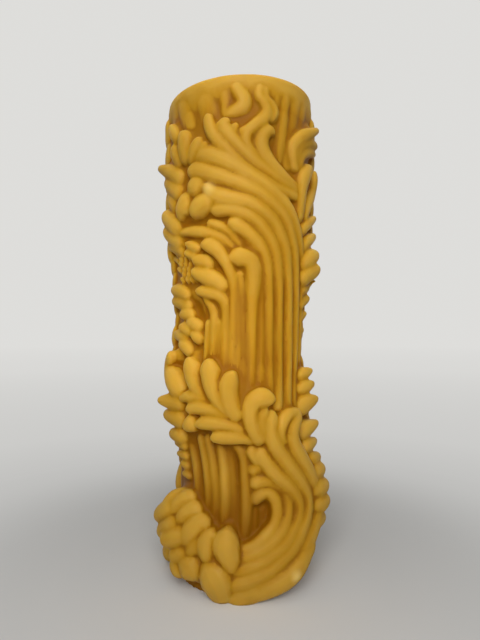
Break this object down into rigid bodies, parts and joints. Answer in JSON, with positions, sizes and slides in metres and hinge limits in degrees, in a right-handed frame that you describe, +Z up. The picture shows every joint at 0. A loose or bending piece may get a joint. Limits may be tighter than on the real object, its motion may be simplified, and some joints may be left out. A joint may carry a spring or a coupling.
{
  "type": "beeswax pillar candle",
  "caption": "Upright pillar candle cast in golden beeswax, carved all round with breaking waves, scrolls and acanthus leaves, with a braided wick held by a metal sustainer in its flat base.",
  "frame": {"origin": "centre of the flat base, on the surface that the candle stands on", "axes": "+Z up along the wick, -Y towards the carving's front, +X to its right"},
  "size_m": [0.0602, 0.0528, 0.166],
  "materials": {
    "beeswax": "satin, slightly translucent cast wax",
    "wick_cotton": "waxed square-braided cotton",
    "tinned_steel": "plain tinned sheet"
  },
  "bodies": {
    "root": {"wax_body": "beeswax", "wick": "wick_cotton", "wick_sustainer": "tinned_steel"}
  },
  "joints": []
}
